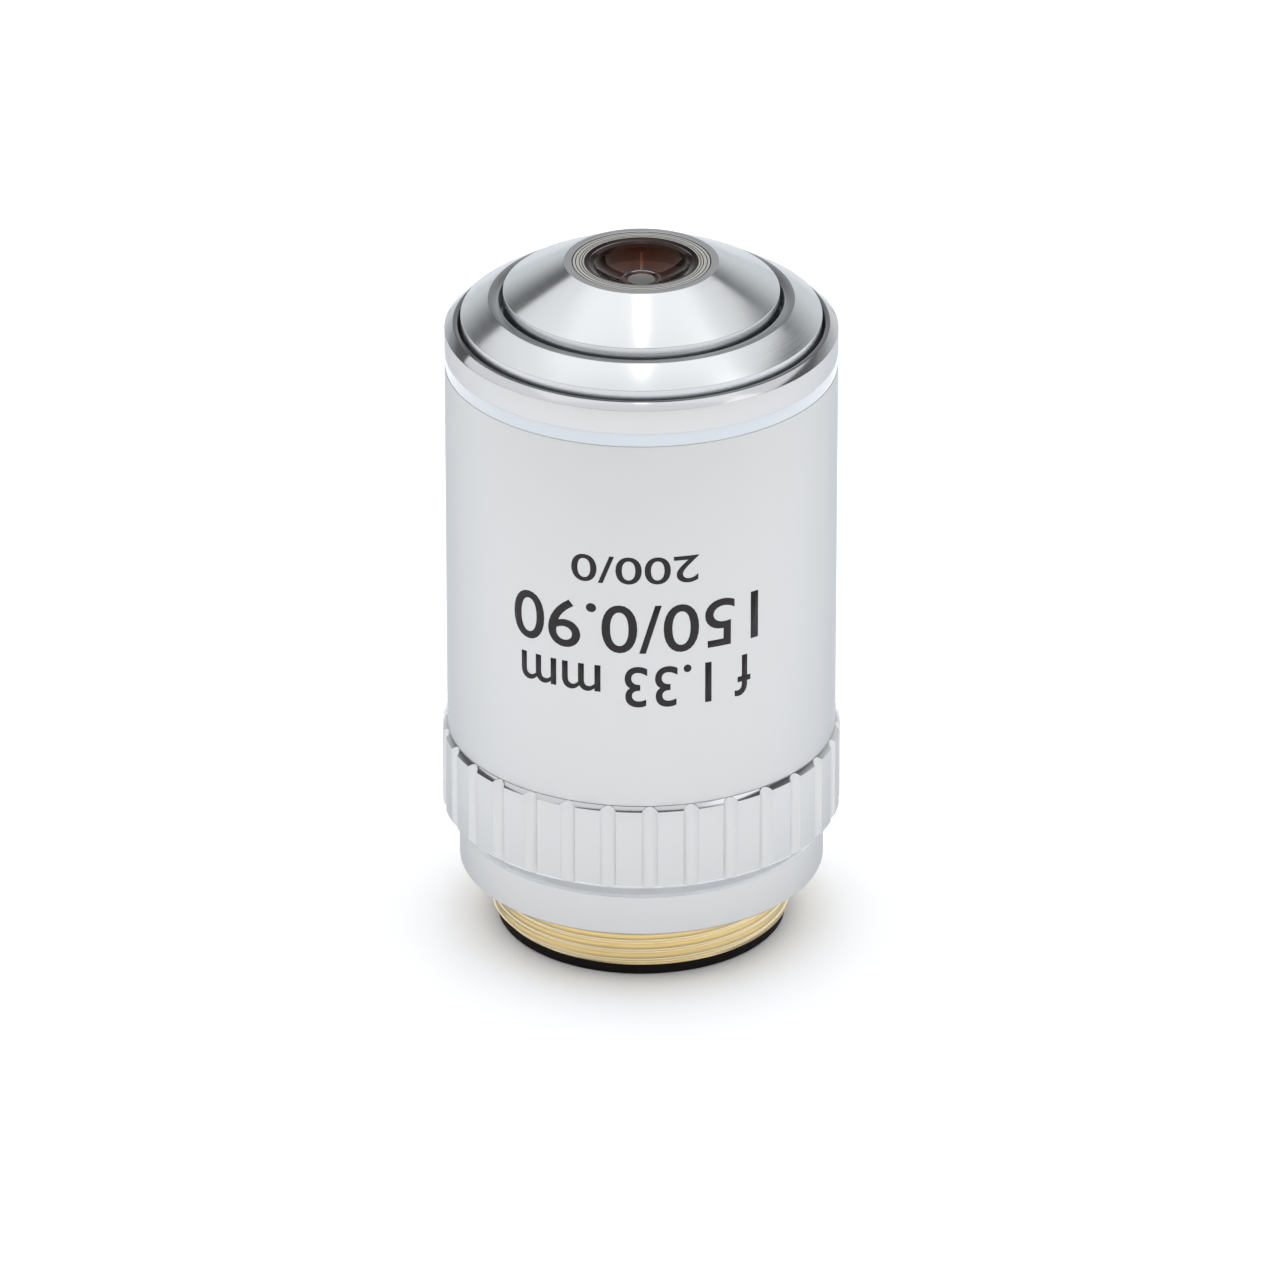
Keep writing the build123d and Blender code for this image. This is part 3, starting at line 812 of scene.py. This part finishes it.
front = {
    "opening": 3.79,
    "face": 44.12,
    "lipRadius": 3.20,
    "bevel": 0.02,
    "slopeDepth": 0.21,
    "lipThickness": 0.05,
    "stepRadius": 3.50,
    "stepShare": 0.48,
    "stepRise": 0.04,
    "stepLean": 0.02,
    "grooves": [3.98, 4.15, 4.40],
    "grooveWidth": 0.06,
    "grooveDepth": 0.05,
    "grooveLean": 0.01,
    "outer": 4.59,
    "edge": 0.03,
    "shoulder": 42.30,
    "flange": 6.20,
    "bottom": 40.80,
    "seatRadius": 3.10,
    "seat": 41.59,
}
frontGlass = {
    "clearRadius": 3.20,
    "bevel": 0.16,
    "half": 3.60,
    "vertex": 42.74,
    "curve": 5.205,
    "flatRadius": 0.90,
    "ribRadius": 1.22,
    "ribInner": 0.06,
    "ribOuter": 0.08,
    "ribWall": 0.02,
    "ribHeight": 0.03,
    "rimRise": 1.1,
    "gap": 0.02,
    "rearVertex": 40.74,
    "rearCurve": 6.0,
    "rearClear": 2.30,
    "steps": 24,
}


def makeFrontCell():
    face, outer, edge = front["face"], front["outer"], front["edge"]
    lip = face - front["slopeDepth"]
    stepHeight = lip + front["slopeDepth"] * front["stepShare"]
    innerEdge = front["lipRadius"] + front["bevel"]
    glassSeat = frontGlass["half"] + frontGlass["gap"]
    lean = front["grooveLean"]
    profile = [
        (innerEdge, lip - front["lipThickness"]),
        (innerEdge, lip),
        (front["stepRadius"], stepHeight),
        (front["stepRadius"] + front["stepLean"], stepHeight + front["stepRise"]),
        (front["opening"], face - edge),
        (front["opening"] + edge, face),
    ]
    for radius in front["grooves"]:
        profile += [
            (radius - front["grooveWidth"], face),
            (radius - front["grooveWidth"] + lean, face - front["grooveDepth"]),
            (radius - lean, face - front["grooveDepth"]),
            (radius, face),
        ]
    profile += [
        (outer - edge, face),
        (outer, face - 2 * edge),
        (outer, front["shoulder"]),
        (front["flange"], front["shoulder"]),
        (front["flange"], front["bottom"]),
        (front["seatRadius"], front["bottom"]),
        (front["seatRadius"], front["seat"]),
        (glassSeat, front["seat"]),
        (glassSeat, lip - front["lipThickness"]),
    ]
    piece = turnPiece("frontCell", profile)
    smoothByAngle(piece)
    finishPiece(piece, paleNickel, "nose", "pale_nickel", "front_cell")
    inOpening = front["opening"] - lean
    nearJoint = outer - edge
    stepMiddle = front["stepRadius"] + front["stepLean"] / 2
    grooveFloor = face - 1.5 * front["grooveDepth"]
    paintFaces(piece, lensBlackAndShade, lambda centre, normal: offAxis(centre) < inOpening)
    paintFaces(piece, lensBlackAndShade, lambda centre, normal: offAxis(centre) > nearJoint
               and Vector(normal.xy).length_squared > 0.1)
    # the groove floors are painted black: painted shade in the grooves
    paintFaces(piece, lensBlackAndShade, lambda centre, normal: front["opening"] < offAxis(centre) < outer
               and grooveFloor < centre.z < face - lean)
    paintFaces(piece, rimSteel, lambda centre, normal: abs(offAxis(centre) - stepMiddle) < front["stepLean"]
               and centre.z > stepHeight)
    return piece


def makeFrontLens():
    # concave glass with a polished bevel round the hollow and a small flat at its lowest point, the flat
    # painted satin grey as a painted reflection
    half, clear, steps = frontGlass["half"], frontGlass["clearRadius"], frontGlass["steps"]
    flat, rib = frontGlass["flatRadius"], frontGlass["ribRadius"]
    vertex, curve = frontGlass["vertex"], frontGlass["curve"]
    bevel = frontGlass["bevel"]
    ribStart = rib - frontGlass["ribInner"]
    ribEnd = rib + frontGlass["ribOuter"]
    ribWall = frontGlass["ribWall"]
    ribTop = arcHeight(vertex, curve, rib) + frontGlass["ribHeight"]
    top = [
        (axisRadius, arcHeight(vertex, curve, flat)),
        (flat, arcHeight(vertex, curve, flat)),
        (ribStart, arcHeight(vertex, curve, ribStart)),
        (rib - ribWall, ribTop),
        (rib + 2 * ribWall, ribTop),
    ]
    top += arcPoints(vertex, curve, ribEnd, clear - bevel, steps)
    rimHeight = top[-1][1] + frontGlass["rimRise"] * bevel
    rim = [(clear, rimHeight), (half, rimHeight)]
    bottom = arcPoints(frontGlass["rearVertex"], frontGlass["rearCurve"], axisRadius, half, steps)
    piece = turnPiece("frontLens", top + rim + bottom[::-1], segments=160, closed=False)
    smoothByAngle(piece, 30)
    finishPiece(piece, coatedGlass, "nose", "coated_glass", "front_lens")
    rearRim = bottom[-1][1]
    paintFaces(piece, lensBlackAndShade, lambda centre, normal: offAxis(centre) > clear - bevel
               and centre.z > rearRim)
    paintFaces(piece, lensBlackAndShade, lambda centre, normal: offAxis(centre) > frontGlass["rearClear"]
               and centre.z <= rearRim)
    paintFaces(piece, rimSteel, lambda centre, normal: ribStart < offAxis(centre) < ribEnd
               and centre.z > vertex)
    # the central flat gets the grey satin: a painted reflection
    paintFaces(piece, paintedReflectionSatin, lambda centre, normal: offAxis(centre) < flat and centre.z > vertex)
    return piece


makeFrontCell()
makeFrontLens()
print("front lens made")


# Printed figures, upside down like everything on an objective that stands on its thread

figures = {
    "radius": 13.115,
    "thickness": 0.015,
    "centreAngle": -1.9,
    "step": 0.25,
    "boldness": 0.006,
    "lines": [
        {"name": "figuresFocus", "text": "f 1.33 mm", "cap": 2.95, "bottom": 17.6, "width": 16.2},
        {"name": "figuresPower", "text": "150/0.90", "cap": 3.45, "bottom": 21.6, "width": 17.4},
        {"name": "figuresTube", "text": "200/0", "cap": 1.95, "bottom": 26.7, "width": 8.6},
    ],
}


def makeFigures(line):
    clearSelection()
    bpy.ops.object.text_add()
    words = bpy.context.object
    words.data.body = line["text"]
    words.data.resolution_u = 6
    words.data.offset = figures["boldness"]
    bpy.ops.object.convert(target="MESH")
    words = bpy.context.object
    words.name = line["name"]
    points = [vertex.co for vertex in words.data.vertices]
    left, right = min(p.x for p in points), max(p.x for p in points)
    high = max(p.y for p in points)
    bpy.ops.object.mode_set(mode="EDIT")
    cuts = int(line["width"] / figures["step"])
    for cut in range(1, cuts):
        bpy.ops.mesh.select_all(action="SELECT")
        bpy.ops.mesh.bisect(plane_co=(left + (right - left) * cut / cuts, 0, 0), plane_no=(1, 0, 0))
    bpy.ops.object.mode_set(mode="OBJECT")
    radius = figures["radius"]
    for vertex in words.data.vertices:
        across = ((vertex.co.x - left) / (right - left) - 0.5) * line["width"]
        height = line["bottom"] + line["cap"] * (1 - vertex.co.y / high)
        angle = radians(figures["centreAngle"]) - across / radius
        vertex.co = Vector((radius * sin(angle), -radius * cos(angle), height)) * mm
    words.data.update()
    applyModifier(words, "SOLIDIFY", thickness=figures["thickness"] * mm, offset=0)
    bpy.ops.object.mode_set(mode="EDIT")
    bpy.ops.mesh.select_all(action="SELECT")
    bpy.ops.mesh.normals_make_consistent(inside=False)
    bpy.ops.object.mode_set(mode="OBJECT")
    return finishPiece(words, printInk, "housing", "black_anodised")


for line in figures["lines"]:
    makeFigures(line)
print("figures printed")


# Return spring of flat wire, which shortens when the nose is pressed in; here it is built at one length
# only

coil = {
    "radius": 9.545,
    "wireWidth": 0.80,
    "wireHeight": 0.60,
    "bottom": 12.02,
    "top": 29.98,
    "seat": 12.0,
    "turns": 6.5,
    "stepsPerTurn": 60,
    "travel": 1.8,
}


def makeSpring():
    clearSelection()
    foot = coil["bottom"] + coil["wireHeight"] / 2
    rise = coil["top"] - coil["bottom"] - coil["wireHeight"]
    steps = int(coil["turns"] * coil["stepsPerTurn"])
    bpy.ops.mesh.primitive_plane_add(size=mm, location=(coil["radius"] * mm, 0, foot * mm),
                                     rotation=(radians(90), 0, 0))
    spring = bpy.context.object
    spring.name = "returnCoil"
    bpy.ops.transform.resize(value=(coil["wireWidth"], 1, coil["wireHeight"]))
    bpy.ops.object.mode_set(mode="EDIT")
    bpy.ops.mesh.select_all(action="SELECT")
    bpy.ops.mesh.delete(type="ONLY_FACE")
    placeInMesh(spring)
    applyModifier(spring, "SCREW", angle=2 * pi * coil["turns"], screw_offset=rise * mm, iterations=1,
                  steps=steps, render_steps=steps, use_smooth_shade=True)
    bpy.ops.object.mode_set(mode="EDIT")
    bpy.ops.mesh.select_all(action="SELECT")
    bpy.ops.mesh.fill_holes(sides=4)
    bpy.ops.mesh.normals_make_consistent(inside=False)
    bpy.ops.object.mode_set(mode="OBJECT")
    smoothByAngle(spring)
    finishPiece(spring, springSteel, "housing", "spring_steel", "return_spring")
    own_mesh(spring)
    return spring


makeSpring()
print("return spring made")


# Inner pieces that keep their own form

innerFinishes = {
    "bare_brass": bareBrass,
    "black_anodised": blackAnodised,
    "spring_steel": springSteel,
    "optical_glass": opticalGlass,
}


def dressInnerPieces():
    slots = {row["node"]: row["material_slot"] for row in frame["record"]["subparts"]}
    for name, piece in frame["nodes"].items():
        finish = innerFinishes.get(slots[name])
        if finish and not piece.hide_render:
            piece.data.materials.clear()
            piece.data.materials.append(finish)


dressInnerPieces()
print("inner pieces dressed")


# Studio: pale table, soft boxes and the camera of the photograph

studio = {
    "floor": -4.34,
    "floorSize": 4.0,
    "cameraHeight": 371.97,
    "cameraBack": 704.10,
    "targetHeight": 15.99,
    "lens": 329.3,
    "shift": -0.00111,
}


def makeFloor():
    clearSelection()
    bpy.ops.mesh.primitive_plane_add(size=studio["floorSize"], location=(0, 0, studio["floor"] * mm))
    floor = bpy.context.object
    floor.name = "paleTable"
    material = bpy.data.materials.new("paleTable")
    material.use_nodes = True
    surface = material.node_tree.nodes["Principled BSDF"]
    surface.inputs["Base Color"].default_value = (0.895, 0.91, 0.935, 1)
    surface.inputs["Roughness"].default_value = 0.9
    surface.inputs["Specular IOR Level"].default_value = 0.0
    floor.data.materials.append(material)


def addSoftBox(name, place, size, brightness):
    # a box that hangs level above the table and shines straight down
    light = bpy.data.lights.new(name, "AREA")
    light.shape = "RECTANGLE"
    light.size, light.size_y = size
    light.energy = brightness * pi * size[0] * size[1]
    lamp = bpy.data.objects.new(name, light)
    bpy.context.scene.collection.objects.link(lamp)
    lamp.location = place
    return lamp


def makeSky():
    # a pale sweep behind the table that darkens towards the top of the room
    world = bpy.data.worlds.new("studio")
    bpy.context.scene.world = world
    world.use_nodes = True
    tree = world.node_tree
    background = tree.nodes["Background"]
    coords = addNode(tree, "ShaderNodeTexCoord", (-900, 0))
    split = addNode(tree, "ShaderNodeSeparateXYZ", (-720, 0))
    tree.links.new(coords.outputs["Generated"], split.inputs[0])
    sideways = addNode(tree, "ShaderNodeMath", (-540, 0), operation="MULTIPLY_ADD")
    sideways.inputs[1].default_value = -0.12
    tree.links.new(split.outputs[0], sideways.inputs[0])
    tree.links.new(split.outputs[2], sideways.inputs[2])
    ramp = addNode(tree, "ShaderNodeValToRGB", (-360, 0))
    stops = [
        (0.0, 1.0), (0.10, 0.96), (0.25, 0.74), (0.38, 0.42),
        (0.48, 0.17), (0.62, 0.12), (1.0, 0.15),
    ]
    ramp.color_ramp.interpolation = "EASE"
    while len(ramp.color_ramp.elements) < len(stops):
        ramp.color_ramp.elements.new(0.5)
    for element, (place, value) in zip(ramp.color_ramp.elements, stops):
        element.position = place
        element.color = (value * 0.97, value * 0.99, value, 1)
    tree.links.new(sideways.outputs[0], ramp.inputs[0])
    tree.links.new(ramp.outputs[0], background.inputs["Color"])


def makeLights():
    # the boxes and the strip are what the polished faces mirror, and the fill only lights the table
    addSoftBox("overheadBox", (-0.20, 0.25, 0.90), (1.96, 1.62), 1.02)
    addSoftBox("middleBox", (-0.02, 0.28, 0.88), (0.86, 0.56), 0.24)
    addSoftBox("sideBox", (0.60, -0.14, 0.87), (0.36, 0.52), 0.50)
    addSoftBox("stripBox", (0, 0.34, 0.86), (0.050, 0.6), 2.2)
    fill = addSoftBox("tableFill", (0, -0.15, 0.80), (2.0, 2.0), 0.85)
    fill.visible_glossy = False


def makeCamera():
    data = bpy.data.cameras.new("photoCamera")
    data.lens = studio["lens"]
    data.sensor_width = 36
    data.shift_x = studio["shift"]
    data.clip_end = 10
    camera = bpy.data.objects.new("photoCamera", data)
    bpy.context.scene.collection.objects.link(camera)
    place = Vector((0, -studio["cameraBack"], studio["cameraHeight"])) * mm
    target = Vector((0, 0, studio["targetHeight"])) * mm
    camera.location = place
    camera.rotation_euler = (target - place).to_track_quat("-Z", "Y").to_euler()
    bpy.context.scene.camera = camera


makeFloor()
makeSky()
makeLights()
makeCamera()
bpy.context.scene.view_settings.view_transform = "Standard"
print("studio made")
